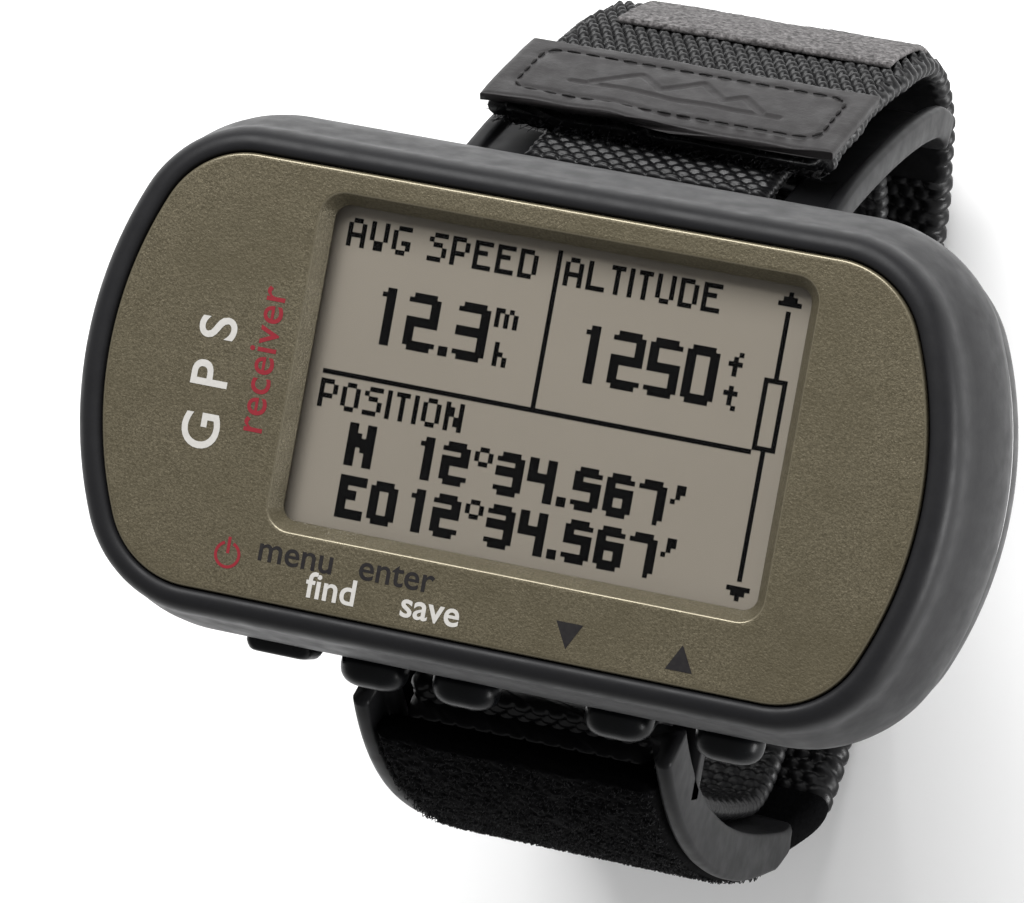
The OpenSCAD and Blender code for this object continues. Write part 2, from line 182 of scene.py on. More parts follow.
def window_material():
    """Clear acrylic: what is under it shows, and its surface reflects."""
    mat = bpy.data.materials.new("clear_window")
    mat.use_nodes = True
    tree = mat.node_tree
    tree.nodes.remove(tree.nodes["Principled BSDF"])
    new, link = tree.nodes.new, tree.links.new
    clear, gloss, mix = new("ShaderNodeBsdfTransparent"), new("ShaderNodeBsdfGlossy"), new("ShaderNodeMixShader")
    gloss.inputs["Roughness"].default_value = 0.08
    fresnel = new("ShaderNodeFresnel")
    fresnel.inputs["IOR"].default_value = 1.15
    link(fresnel.outputs["Fac"], mix.inputs["Fac"])
    link(clear.outputs["BSDF"], mix.inputs[1])
    link(gloss.outputs["BSDF"], mix.inputs[2])
    link(mix.outputs["Shader"], tree.nodes["Material Output"].inputs["Surface"])
    return mat


M = {
    "paint": material(
        "olive_paint", (0.068, 0.058, 0.036), 0.40, 0.35, 0.2,
        mottle=[(0.17, (0.165, 0.143, 0.096), 0.6), (0.08, (0.020, 0.017, 0.010), 0.6),
            (9, (0.060, 0.051, 0.031), 0.6)],
        bumps=[(0.24, 0.034), (0.12, 0.012)], rough_var=0.05,
    ),
    # brighter paint for the rounded rims: a painted highlight, with lower roughness and more metal
    "paint_highlight_edge": material(
        "olive_paint_highlight_edge", (0.13, 0.113, 0.076), 0.28, 0.55, 0.5, mottle=[(0.2, (0.10, 0.088, 0.058), 0.6)],
        bumps=[(0.3, 0.004)], rough_var=0.05,
    ),
    "rubber": material(
        "soft_rubber", (0.0078, 0.0078, 0.0087), 0.45, 0, 0.14,
        mottle=[(6, (0.0083, 0.0082, 0.0091), 0.4), (0.25, (0.006, 0.006, 0.0065), 0.5)],
        bumps=[(0.12, 0.004), (0.5, 0.006)], rough_var=0.06,
    ),
    "key": material(
        "key_rubber", (0.0022, 0.0025, 0.003), 0.3, 0, 0.09, mottle=[(1.5, (0.0036, 0.004, 0.0045), 0.7)],
        bumps=[(0.15, 0.003)], rough_var=0.05,
    ),
    "moulding": material(
        "dark_moulding", (0.006, 0.006, 0.0065), 0.45, 0, 0.2, mottle=[(4, (0.009, 0.009, 0.0095), 0.7)],
        bumps=[(0.18, 0.012), (0.6, 0.006)], rough_var=0.06,
    ),
    # pale grey: a painted highlight for the line of light along the case seam
    "lip": material("seam_highlight_lip", (0.62, 0.62, 0.63), 0.3, 0, 0.5, mottle=[(3, (0.54, 0.54, 0.55), 0.5)],
        bumps=[(0.3, 0.003)]),
    "lcd": material(
        "lcd_glass", (0.168, 0.151, 0.125), 0.8, 0, 0.05,
        mottle=[(14, (0.154, 0.138, 0.114), 0.5), (0.36, (0.162, 0.145, 0.120), 0.4)], bumps=[(0.4, 0.001)],
    ),
    "dots": material("lcd_dots", (0.0015, 0.0015, 0.0015), 0.8, 0, 0.0, mottle=[(5, (0.003, 0.003, 0.003), 0.6)]),
    "white_ink": material("white_ink", (0.36, 0.35, 0.33), 0.5, 0, 0.2, mottle=[(0.3, (0.30, 0.29, 0.275), 0.5)],
        bumps=[(0.2, 0.003)]),
    "dark_ink": material("dark_ink", (0.007, 0.006, 0.007), 0.5, 0, 0.15, mottle=[(0.4, (0.014, 0.013, 0.012), 0.5)],
        bumps=[(0.2, 0.003)]),
    "red_ink": material("red_ink", (0.16, 0.011, 0.017), 0.5, 0, 0.15, mottle=[(0.3, (0.12, 0.008, 0.013), 0.5)],
        bumps=[(0.2, 0.003)]),
    "plastic": material(
        "wing_plastic", (0.0043, 0.0043, 0.0048), 0.42, 0, 0.09, mottle=[(5, (0.0055, 0.0055, 0.006), 0.6)],
        bumps=[(0.3, 0.0025), (2.5, 0.006)], rough_var=0.06,
    ),
    "webbing": material(
        "nylon_webbing", (0.0032, 0.0032, 0.0036), 0.36, 0, 0.2,
        mottle=[(0.5, (0.0065, 0.0065, 0.0072), 0.6), (0.09, (0.002, 0.002, 0.002), 0.5)],
        bumps=[(0.06, 0.008), (0.25, 0.014)], rough_var=0.08,
    ),
    "pile": material(
        "loop_pile", (0.0008, 0.0008, 0.001), 0.8, 0, 0.03,
        mottle=[(0.35, (0.0025, 0.0025, 0.003), 0.8), (0.12, (0.0006, 0.0006, 0.0006), 0.5)],
        bumps=[(0.12, 0.05), (0.4, 0.05)],
    ),
    "thread": material("pile_thread", (0.0022, 0.0023, 0.0028), 0.45, 0, 0.14,
        mottle=[(0.3, (0.005, 0.005, 0.006), 0.6)], bumps=[(0.06, 0.005)]),
    "suede": material(
        "grey_suede", (0.022, 0.0205, 0.0205), 0.8, 0, 0.1,
        mottle=[(0.40, (0.18, 0.171, 0.171), 1.0), (0.19, (0.012, 0.011, 0.011), 0.6),
            (3, (0.06, 0.057, 0.057), 0.3)],
        bumps=[(0.2, 0.05), (0.6, 0.06)], sheen=0.06,
    ),
    "hook": material("hook_tape", (0.0015, 0.0015, 0.0015), 0.6, 0, 0.12, mottle=[(0.3, (0.004, 0.004, 0.0045), 0.7)],
        bumps=[(0.15, 0.05)]),
    "leather": material(
        "tab_leather", (0.0112, 0.0098, 0.0101), 0.5, 0, 0.18,
        mottle=[(2.2, (0.0165, 0.015, 0.0154), 0.7), (0.2, (0.0065, 0.006, 0.0062), 0.6)],
        bumps=[(0.14, 0.014), (0.5, 0.02), (2.5, 0.05)], rough_var=0.08,
    ),
    "stitch": material("stitch_thread", (0.005, 0.0045, 0.0045), 0.6, 0, 0.2,
        mottle=[(0.2, (0.012, 0.011, 0.011), 0.6)], bumps=[(0.08, 0.01)]),
    "steel": material("screw_steel", (0.42, 0.42, 0.43), 0.34, 1.0, mottle=[(0.6, (0.33, 0.33, 0.34), 0.6)],
        bumps=[(0.3, 0.003)], rough_var=0.08),
    "ring": material("ring_steel", (0.58, 0.58, 0.59), 0.24, 1.0, mottle=[(0.8, (0.48, 0.48, 0.49), 0.6)],
        bumps=[(0.4, 0.002)], rough_var=0.06),
    "tin": material("tinned_steel", (0.55, 0.55, 0.54), 0.36, 1.0, mottle=[(0.5, (0.44, 0.44, 0.43), 0.6)],
        bumps=[(0.3, 0.004)], rough_var=0.08),
    "board": material("circuit_board", (0.015, 0.085, 0.035), 0.4, mottle=[(0.8, (0.02, 0.12, 0.05), 0.6)],
        bumps=[(0.3, 0.01)]),
    "ceramic": material("ceramic", (0.55, 0.49, 0.36), 0.5, mottle=[(0.4, (0.47, 0.41, 0.30), 0.5)],
        bumps=[(0.2, 0.005)]),
    "black": material("black_part", (0.014, 0.014, 0.014), 0.45, mottle=[(0.8, (0.022, 0.022, 0.022), 0.6)],
        bumps=[(0.2, 0.006)]),
    "gasket": material("gasket_rubber", (0.09, 0.09, 0.095), 0.6, mottle=[(0.8, (0.07, 0.07, 0.072), 0.6)],
        bumps=[(0.2, 0.006)]),
    "guide": material("light_guide", (0.75, 0.75, 0.70), 0.4, mottle=[(1.5, (0.68, 0.68, 0.63), 0.5)],
        bumps=[(0.3, 0.004)]),
    "cell": material("cell_wrap", (0.28, 0.19, 0.07), 0.32, 0.6, mottle=[(3, (0.24, 0.16, 0.06), 0.5)],
        bumps=[(0.5, 0.004)], coat=0.4),
    "window": window_material(),
}


# ---------- mesh helpers ----------


def put(name, verts, faces, mat, body="case", replaces=(), slot=None, smooth=True):
    """A mesh object from millimetres, riding on a body."""
    mesh = bpy.data.meshes.new(name)
    mesh.from_pydata((np.asarray(verts, float) * MM).tolist(), [], [list(map(int, f)) for f in faces])
    mesh.materials.append(M[mat])
    obj = add_object(name, mesh)
    work = bmesh.new()
    work.from_mesh(mesh)
    bmesh.ops.remove_doubles(work, verts=work.verts, dist=1e-7)
    bmesh.ops.recalc_face_normals(work, faces=work.faces)
    work.to_mesh(mesh)
    work.free()
    mesh.polygons.foreach_set("use_smooth", [smooth] * len(mesh.polygons))
    return settle(obj, body, replaces)


def settle(obj, body, replaces=()):
    if body:
        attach(obj, body)
    if replaces:
        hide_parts(*replaces)
    return obj


class Build:
    """Gathers vertices and faces of one mesh."""

    def __init__(self):
        self.v, self.f = [], []

    def ring_faces(self, a, b):
        for i in range(len(a)):
            j = (i + 1) % len(a)
            self.f.append((a[i], a[j], b[j], b[i]))

    def add(self, pts):
        start = len(self.v)
        self.v.extend(np.asarray(pts, float).tolist())
        return list(range(start, len(self.v)))

    def loft(self, rings, loop=False, caps=False):
        """Faces between rings of the same length; loop joins the last to the first, caps fills the ends."""
        rows = [self.add(r) for r in rings]
        for a, b in zip(rows, rows[1:] + (rows[:1] if loop else [])):
            self.ring_faces(a, b)
        if caps:
            self.f.append(tuple(reversed(rows[0])))
            self.f.append(tuple(rows[-1]))
        return rows

    def plate(self, loops):
        """Triangles between an outer loop of indices and the loops of its holes."""
        order = [i for loop in loops for i in loop]
        flat = [[Vector(self.v[i]) for i in loop] for loop in loops]
        for tri in tessellate_polygon(flat):
            self.f.append(tuple(order[i] for i in tri))

    def box(self, lo, hi):
        c = [(x, y, z) for z in (lo[2], hi[2])
             for x, y in ((lo[0], lo[1]), (hi[0], lo[1]), (hi[0], hi[1]), (lo[0], hi[1]))]
        k = self.add(c)
        for q in ((3, 2, 1, 0), (4, 5, 6, 7), (0, 1, 5, 4), (1, 2, 6, 5), (2, 3, 7, 6), (3, 0, 4, 7)):
            self.f.append(tuple(k[i] for i in q))

    def put(self, name, mat, **kw):
        return put(name, self.v, self.f, mat, **kw)


def cut(obj, cutter):
    """Takes cutter away from obj and removes it."""
    mod = obj.modifiers.new("cut", "BOOLEAN")
    mod.object = cutter
    mod.operation = "DIFFERENCE"
    mod.solver = "EXACT"
    bake(obj)
    bpy.data.objects.remove(cutter)


def bake(obj):
    """Applies the modifiers of obj."""
    bpy.context.view_layer.update()
    graph = bpy.context.evaluated_depsgraph_get()
    mesh = bpy.data.meshes.new_from_object(obj.evaluated_get(graph), depsgraph=graph)
    obj.modifiers.clear()
    obj.data = mesh


def soften(obj, width):
    """Rounds the sharp edges of obj, which keeps its own mesh."""
    weld = obj.modifiers.new("weld", "WELD")
    weld.merge_threshold = 1e-6
    mod = obj.modifiers.new("round", "BEVEL")
    mod.width = width * MM
    mod.segments = 2
    mod.limit_method = "ANGLE"
    mod.angle_limit = math.radians(30)
    obj.data.polygons.foreach_set("use_smooth", [True] * len(obj.data.polygons))


# ---------- outlines ----------


def d_outline(a, b, re, rc, ends=14, corners=20, sides=30):
    """Case outline with bulging ends, anticlockwise from its right end."""
    ox, oy = a - re, b - rc
    cx = ox + math.sqrt((re - rc) ** 2 - oy**2)
    ang = math.atan2(oy, cx - ox)
    quarter = [(ox + re * math.cos(t), re * math.sin(t)) for t in np.linspace(0, ang, ends, endpoint=False)]
    quarter += [(cx + rc * math.cos(t), oy + rc * math.sin(t))
        for t in np.linspace(ang, math.pi / 2, corners, endpoint=False)]
    quarter += [(x, b) for x in np.linspace(cx, 0, sides, endpoint=False)]
    half = quarter + [(0, b)] + [(-x, y) for x, y in reversed(quarter)]
    return np.array(half[:-1] + [(-x, -y) for x, y in half[:-1]])


def turn(x, y, r, angles):
    """Points around x, y at angles in degrees."""
    return [(x + r * math.cos(math.radians(a)), y + r * math.sin(math.radians(a))) for a in angles]


def rounded(w, h, r, n=8, at=(0, 0), edge=0):
    """Rounded rectangle, anticlockwise, with edge extra points along each side."""
    pts = []
    corners = [(w / 2 - r, h / 2 - r, 0), (-w / 2 + r, h / 2 - r, 90), (-w / 2 + r, -h / 2 + r, 180),
        (w / 2 - r, -h / 2 + r, 270)]
    for k, (x, y, a) in enumerate(corners):
        arc = turn(x, y, r, [a + 90 * i / n for i in range(n + 1)])
        pts += arc
        nx, ny, na = corners[(k + 1) % 4]
        end = turn(nx, ny, r, [na])[0]
        for i in range(1, edge + 1):
            f = i / (edge + 1)
            pts.append((arc[-1][0] * (1 - f) + end[0] * f, arc[-1][1] * (1 - f) + end[1] * f))
    return np.array(pts) + np.array(at)


def screw_hole(x, y):
    """A circle round the head of a screw."""
    return rounded(3.0, 3.0, 1.499, 8, at=(x, y))


def level(pts, z):
    """An outline laid flat at height z."""
    return np.column_stack([pts, np.full(len(pts), z)])


def inward(pts, d):
    """A closed outline moved in by d."""
    t = np.roll(pts, -1, 0) - np.roll(pts, 1, 0)
    n = np.column_stack([-t[:, 1], t[:, 0]]) / np.linalg.norm(t, axis=1)[:, None]
    return pts + n * d


# ---------- front of the case ----------


def add_bezel():
    """Rubber around the panel and down the side, with an opening for each key."""
    outer, pocket, inner = d_outline(*CASE), d_outline(*POCKET), d_outline(*INNER)
    # share of the way from the pocket to the outside, and drop below the face
    crown = [
        (0.00, POCKET_DEEP), (0.00, 0.42), (0.015, 0.22), (0.05, 0.06), (0.11, -0.02), (0.19, -0.04), (0.28, 0.03),
        (0.37, 0.2), (0.46, 0.5), (0.53, 0.95), (0.575, 1.5), (0.60, 2.1), (0.62, 2.65), (0.655, 3.3), (0.72, 4.1),
        (0.81, 5.2), (0.90, 6.6), (0.97, 8.2), (1.0, 9.6), (0.97, 11.0), (0.91, 12.2), (0.84, 13.3), (0.77, 14.2),
        (0.71, 14.75), (0.66, 15.0),
    ]
    rings = [level(pocket + (outer - pocket) * w, FACE - d) for w, d in crown]
    rings += [level(inner, SEAM), level(inner, FACE - POCKET_DEEP)]
    b = Build()
    b.loft(rings, loop=True)
    bezel = b.put("bezel_rubber", "rubber", replaces=["front_bezel"], slot="soft_rubber")
    opening = rounded(KEY_W + KEY_GAP, KEY_H + KEY_GAP, 2.4)
    for x in KEY_X:
        c = Build()
        c.loft([upright(opening, x, y) for y in (-half_wid - 3, -half_wid + 1.2)], caps=True)
        cut(bezel, c.put("cutter", "rubber"))


def add_panel():
    """Painted front plate with a bevelled window."""
    outline = d_outline(*PANEL)
    top = rounded(39.3, 25.9, 2.0, at=LCD, edge=10)
    low = rounded(37.4, 24.0, 1.1, at=LCD, edge=10)
    b = Build()
    edge = [(0, PANEL_BACK), (0, FACE - 0.28), (0.03, FACE - 0.14), (0.09, FACE - 0.05), (0.19, FACE), (0.4, FACE)]
    rows = b.loft([level(inward(outline, d), z) for d, z in edge])
    walls = [(-0.25, FACE), (0, FACE), (0.06, FACE - 0.02), (0.13, FACE - 0.08), (0.95, FACE - 1.22),
        (1.0, PANEL_BACK)]
    win = b.loft([level(top + (low - top) * d, z) for d, z in walls])
    b.plate([rows[-1], win[0]])
    b.plate([rows[0], win[-1]])
    # the rounded rims of the plate and of the window get a brighter, glossier paint: its brighter colour is a painted
    # highlight along the edges
    panel = b.put("olive_panel", "paint", replaces=["face_panel"], slot="olive_paint")
    panel.data.materials.append(M["paint_highlight_edge"])
    for face in panel.data.polygons:
        drop = FACE - face.center.z / MM
        if 0.005 < drop < 0.12:
            face.material_index = 1


def add_window():
    """Clear pane, and the display glass under it."""
    b = Build()
    pts = rounded(lens_hi[0] - lens_lo[0], lens_hi[1] - lens_lo[1], 1.0, at=LCD)
    b.loft([level(pts, lens_hi[2]), level(pts, lens_lo[2])], caps=True)
    b.put("window_pane", "window", replaces=["display_window"], slot="window", smooth=False)
    b = Build()
    pts = rounded(lcd_hi[0] - lcd_lo[0], lcd_hi[1] - lcd_lo[1], 0.4, at=LCD)
    b.loft([level(pts, lcd_lo[2]), level(pts, lcd_hi[2])], caps=True)
    b.put("lcd_plate", "lcd", replaces=["lcd_module"], slot="lcd_glass", smooth=False)


# ---------- display content ----------

DOT, DOT_LOW, DOT_HIGH = 0.36, 0.005, 0.035
COLS, ROWS = 100, 64
GLYPHS = {
    "A": ".##. #..# #..# #### #..# #..#", "V": "#..# #..# #..# #..# .##. .##.", "G": ".### #... #... #.## #..# .##.",
    "S": ".### #... .##. ...# ...# ###.", "P": "###. #..# #..# ###. #... #...", "E": "#### #... ###. #... #... ####",
    "D": "###. #..# #..# #..# #..# ###.", "L": "#... #... #... #... #... ####", "T": "### .#. .#. .#. .#. .#.",
    "I": "# # # # # #", "U": "#..# #..# #..# #..# #..# .##.", "O": ".##. #..# #..# #..# #..# .##.",
    "N": "#..# ##.# ##.# #.## #.## #..#", " ": ".. .. .. .. .. ..",
    "m": "##.#. #.#.# #.#.# #.#.#", "h": "#.. #.. ##. #.# #.#", "f": "..# .#. ### .#. .#.",
    "t": ".#. ### .#. .#. ..#",
}
SEGMENTS = {"0": "abcdef", "2": "abged", "3": "abgcd", "4": "fgbc", "5": "afgcd", "6": "afgedc", "7": "abc",
    "8": "abcdefg", "9": "abfgcd"}


def seven(digit, w, h):
    """Dots of a digit drawn with strokes two dots thick and cut corners."""
    mid = h // 2 - 1
    bars = {
        "a": (0, 0, w, 2), "g": (0, mid, w, mid + 2), "d": (0, h - 2, w, h), "f": (0, 0, 2, mid + 2),
        "b": (w - 2, 0, w, mid + 2), "e": (0, mid, 2, h), "c": (w - 2, mid, w, h),
    }
    dots = set()
    if digit == "1":
        return {(x, y) for x in (w // 2, w // 2 + 1) for y in range(h)} | {(w // 2 - 1, 1)}
    for s in SEGMENTS[digit]:
        x0, y0, x1, y1 = bars[s]
        dots |= {(x, y) for x in range(x0, x1) for y in range(y0, y1)}
    if digit != "4":
        dots -= {(0, 0), (w - 1, 0), (0, h - 1), (w - 1, h - 1)}
    return dots


def display_dots():
    """Column and row of each dark dot of the display."""
    dots = set()

    def stamp(found, x, y):
        dots.update((x + c, y + r) for c, r in found)

    def glyph(ch, x, y):
        rows = GLYPHS[ch].split()
        stamp({(c, r) for r, row in enumerate(rows) for c, v in enumerate(row) if v == "#"}, x, y)
        return x + len(rows[0]) + 1

    def word(text, x, y):
        for ch in text:
            x = glyph(ch, x, y)

    def number(text, x, y, w, h, step):
        for ch in text:
            if ch == ".":
                stamp({(c, r) for c in (0, 1) for r in (h - 2, h - 1)}, x, y)
                x += 3
            elif ch == "'":
                stamp({(1, 0), (2, 0), (1, 1), (2, 1), (1, 2), (0, 3)}, x, y)
                x += 4
            elif ch == "*":
                stamp({(1, 0), (2, 0), (0, 1), (3, 1), (0, 2), (3, 2), (1, 3), (2, 3)}, x, y)
                x += 5
            elif ch == "N":
                posts = {(c, r) for c in (0, 1, w - 2, w - 1) for r in range(h)}
                stamp(posts | {(c, c + d) for c in range(1, w - 1) for d in (0, 1, 2)}, x, y)
                x += step
            elif ch == "E":
                gap = {(c, r) for c in (w - 2, w - 1) for r in range(2, h - 2)}
                stamp(seven("8", w, h) - gap | {(0, 0), (0, h - 1), (w - 1, 0), (w - 1, h - 1)}, x, y)
                x += step
            elif ch == " ":
                x += step
            else:
                stamp(seven(ch, w, h), x, y)
                x += step

    def line(x0, y0, x1, y1):
        dots.update((x, y) for x in range(x0, x1 + 1) for y in range(y0, y1 + 1))

    word("AVG SPEED", 0, 1)
    word("ALTITUDE", 48, 1)
    word("POSITION", 0, 35)
    number("12.3", 8, 14, 7, 12, 8)
    number("1250", 53, 14, 7, 12, 8)
    glyph("m", 35, 14)
    glyph("h", 36, 21)
    glyph("f", 86, 14)
    glyph("t", 86, 21)
    number("N 12*34.567'", 8, 43, 6, 9, 7)
    number("E012*34.567'", 8, 54, 6, 9, 7)
    line(46, 0, 46, 32)
    line(0, 33, 93, 33)
    line(96, 4, 96, 17)
    line(96, 33, 96, 59)
    line(94, 18, 98, 18)
    line(94, 32, 98, 32)
    line(94, 18, 94, 32)
    line(98, 18, 98, 32)
    for k in range(3):
        line(96 - k, k, 96 + k, k)
        line(96 - k, 63 - k, 96 + k, 63 - k)
    return dots


def add_display():
    """The dark dots, joined along each row."""
    top = lcd_hi[2]
    dots = display_dots()
    b = Build()
    for y in range(ROWS):
        x = 0
        while x < COLS:
            if (x, y) in dots:
                end = x
                while (end + 1, y) in dots:
                    end += 1
                x0, x1 = LCD[0] + (x - COLS / 2) * DOT, LCD[0] + (end + 1 - COLS / 2) * DOT
                y0 = LCD[1] + (ROWS / 2 - y - 1) * DOT
                b.box((x0, y0, top + DOT_LOW), (x1, y0 + DOT, top + DOT_HIGH))
                x = end
            x += 1
    b.put("lcd_dots_lit", "dots", slot="lcd_glass", smooth=False)


# ---------- printed legends ----------


def add_text(name, words, at, size, mat, turn=0.0, bold=0.0, spacing=1.0):
    """Printed words, a hair above the panel."""
    data = bpy.data.curves.new(name, "FONT")
    data.body = words
    data.size = size * MM
    data.align_x, data.align_y = "CENTER", "CENTER"
    data.offset = bold * MM
    data.space_character = spacing
    data.extrude = 0.012 * MM
    data.resolution_u = 6
    obj = add_object(name + "_text", data)
    obj.location = Vector((at[0], at[1], FACE + 0.014)) * MM
    obj.rotation_euler = (0, 0, math.radians(turn))
    bpy.context.view_layer.update()
    graph = bpy.context.evaluated_depsgraph_get()
    mesh = bpy.data.meshes.new_from_object(obj.evaluated_get(graph), depsgraph=graph)
    mesh.transform(obj.matrix_world)
    bpy.data.objects.remove(obj)
    mesh.materials.clear()
    mesh.materials.append(M[mat])
    mesh.name = name
    settle(add_object(name, mesh), "case")


def ink_shape(name, loops, mat):
    """A thin printed shape from closed loops, the first outside and the rest holes."""
    b = Build()
    rows = [b.loft([level(np.array(p), FACE + 0.002), level(np.array(p), FACE + 0.026)]) for p in loops]
    b.plate([r[1] for r in rows])
    b.plate([r[0] for r in rows])
    b.put(name, mat, slot="olive_paint", smooth=False)


def add_legends():
    """Printed words and signs beside the keys and at the left of the display."""
    def at(x, y):
        return (x + LCD[0], y + LCD[1])

    add_text("legend_menu", "menu", at(-16.6, -14.5), 2.75, "dark_ink", bold=0.025)
    add_text("legend_find", "find", at(-13.4, -16.5), 2.75, "white_ink", bold=0.04)
    add_text("legend_enter", "enter", at(-8.6, -14.4), 2.75, "dark_ink", bold=0.025)
    add_text("legend_save", "save", at(-5.5, -16.5), 2.75, "white_ink", bold=0.04)
    add_text("legend_gps", "GPS", at(-25.7, -3.0), 4.2, "white_ink", 90, 0.05, 1.75)
    add_text("legend_kind", "receiver", at(-22.0, -0.6), 3.2, "red_ink", 90, 0.02, 1.05)
    cx, cy = at(-22.0, -15.4)
    arc = np.radians(np.linspace(112, 428, 40))
    ring = [(cx + r * math.cos(t), cy + r * math.sin(t)) for r, way in ((1.05, 1), (0.82, -1)) for t in arc[::way]]
    ink_shape("legend_power_arc", [ring], "red_ink")
    bar = [(cx - 0.12, cy + 0.1), (cx + 0.12, cy + 0.1), (cx + 0.12, cy + 1.35), (cx - 0.12, cy + 1.35)]
    ink_shape("legend_power_bar", [bar], "red_ink")
    for name, (x, y), s in (("legend_down", at(5.3, -16.3), -1), ("legend_up", at(14.1, -16.3), 1)):
        ink_shape(name, [[(x - 1.05, y - s * 0.95), (x + 1.05, y - s * 0.95), (x, y + s)]], "dark_ink")


# ---------- keys ----------

half_wid = -bezel_lo[1]
key_box = {n: box_mm("key_" + n) for n in ("power", "page", "enter", "down", "up")}
KEY_X = [float((lo[0] + hi[0]) / 2) for lo, hi in key_box.values()]
KEY_Z = float((key_box["page"][0][2] + key_box["page"][1][2]) / 2)
KEY_W, KEY_H, KEY_GAP = 5.4, 4.2, 0.7


def upright(pts, x, y):
    """An outline stood upright at y, around the middle of the key at x."""
    return np.column_stack([pts[:, 0] + x, np.full(len(pts), y), pts[:, 1] + KEY_Z])


def add_keys():
    """Key caps: a low squarish one for power, and taller round-ended ones. Their steps are inset and height."""
    for (name, (lo, _)), x in zip(key_box.items(), KEY_X):
        b = Build()
        if name == "power":
            steps = [(0, 0.5), (0, -0.25), (0.12, -0.55), (0.3, -0.82), (0.5, -0.96), (0.75, -1.0)]
            rings = [(rounded(KEY_W - 2 * i, KEY_H - 2 * i, max(0.9 - 0.6 * i, 0.3), 6, edge=4), -half_wid + y)
                     for i, y in steps]
        else:
            proud = -half_wid - float(lo[1])
            steps = [(0, -0.5), (0, 0.62), (0.04, 0.95), (0.14, 1.28), (0.32, 1.58), (0.58, 1.83), (0.92, 2.02),
                (1.32, 2.14), (1.75, 2.19), (2.0, 2.2)]
            rings = [(rounded(KEY_W - 2 * i, KEY_H - 2 * i, KEY_H / 2 - i - 0.001, 10, edge=2),
                -half_wid - d * proud / 2.2) for i, d in steps]
        b.loft([upright(p, x, y) for p, y in rings], caps=True)
        b.put("key_cap_" + name, "key", body=name + "_button", replaces=["key_" + name], slot="key_rubber")


# ---------- back of the case ----------


def door_outline(grow):
    """Outline of the battery door with its round tongue, larger by grow on every side."""
    left, high, right, tongue_x = box_mm("battery_door")[0][0] - grow, 12 + grow, 25 + grow, 27.8
    r, tongue_r = 2.0 + grow, 3.6 + grow
    pts = turn(left + r, high - r, r, range(90, 181, 15)) + turn(left + r, -high + r, r, range(180, 271, 15))
    pts += turn(right - r, -high + r, r, range(270, 361, 15)) + [(right, -tongue_r)]
    pts += turn(tongue_x, 0, tongue_r, range(-90, 91, 10)) + [(right, tongue_r)]
    return np.array(pts + turn(right - r, high - r, r, range(0, 91, 15)))


def add_rear():
    """Rear shell with its recesses: door, battery bay, cap and socket, and case screws."""
    outline = d_outline(*CASE)
    # inset and height
    steps = [
        (1.25, SEAM), (1.15, SEAM - 0.3), (1.1, SEAM - 2.0), (1.3, SEAM - 3.4), (1.7, SEAM - 4.7), (2.1, SEAM - 5.8),
        (2.5, SEAM - 6.7), (3.1, SEAM - 7.4), (3.8, SEAM - 7.85), (4.4, BACK),
    ]
    b = Build()
    b.loft([level(inward(outline, d), z) for d, z in steps], caps=True)
    shell = b.put("rear_shell", "moulding", replaces=["rear_case"], slot="dark_moulding")
    usb_lo, usb_hi = box_mm("usb_cap")
    usb_x = (usb_lo[0] + usb_hi[0]) / 2
    cuts = [
        (door_outline(0.15), BACK - 1, BACK + 2.1), (rounded(47.4, 22.4, 0.8, 5), BACK, SEAM + 1),
        (rounded(5.9, 12.3, 1.3, 6, at=(usb_x, 0.5)), BACK - 1, BACK + 1.2),
        (rounded(4.6, 8.4, 0.3, 2, at=(usb_x, 0)), BACK, SEAM + 1),
    ]
    cuts += [(screw_hole(x, y), BACK - 1, BACK + 1.4) for x in (-27.6, 27.6) for y in (-10.8, 10.8)]
    for pts, z0, z1 in cuts:
        c = Build()
        c.loft([level(pts, z0), level(pts, z1)], caps=True)
        cut(shell, c.put("cutter", "moulding"))


def add_seam_highlight():
    """Pale lip at the seam, which shows as a line between rubber and rear case: its pale grey is a painted highlight,
    standing in for light caught on the seam's edge.
    """
    outline = d_outline(*CASE)
    b = Build()
    steps = [(1.6, 0.12), (1.1, 0.12), (1.0, 0.04), (1.0, -0.24), (1.1, -0.34), (1.6, -0.34)]
    b.loft([level(inward(outline, d), SEAM + z) for d, z in steps], loop=True)
    b.put("seam_highlight_line", "lip", slot="grey_moulding")


# ---------- strap loop ----------

HALF, MID = 35.0, 17.0  # half the loop's width, and the height at which it is widest
# Depths of the layers under the loop's surface, outside and inside
BAND, WEB, FOLD = (0.85, 2.6), (5.0, 6.6), (1.0, 2.6)
WING_MID, WING_HALF = 3.8, 1.0  # middle and half thickness of the wings
# Angles round the loop: 0 on the side above the display, -90 under the wrist, -180 on the side of the keys
FOOT_T, PILE_T, BAND_T, TAIL_T, TIP_T = -225.5, -146, -45, 18, 37.6
SUEDE_T = (-38, 16.5)
BAND_W, PILE_W, WEB_W, SUEDE_W = 28, 23, 20, 23.4
RIB = (1.05, 1.18)  # width and length of a rib of the wide webbing
KNOT = (1.32, 1.1)  # and of a knot of the plain webbing


def loop_pt(s, t):
    """Point on the strap loop at angle t in degrees, a depth s under its surface, as y and z."""
    c, v = math.cos(math.radians(t)), math.sin(math.radians(t))
    # e bends each part of the curve: flat under the wrist, steep at the foot, leaning in at the top
    if v < 0:
        e, high = 0.833, MID + 0.6 - s
    elif c < 0:
        e, high = 0.8, FACE - 6 - MID - s
    else:
        e, high = 1.5, FACE + 6 - MID - s
    y = (HALF - s) * math.copysign(abs(c) ** e, c)
    z = MID + high * math.copysign(abs(v) ** e, v)
    return y, max(z, s)


def ease(t, a, b):
    """Smooth step from 0 at a to 1 at b."""
    u = min(max((t - a) / (b - a), 0), 1)
    return u * u * (3 - 2 * u)


def sink(t):
    """How far the layers under the tail are set in."""
    return 2.8 * ease(t, -60, -15)


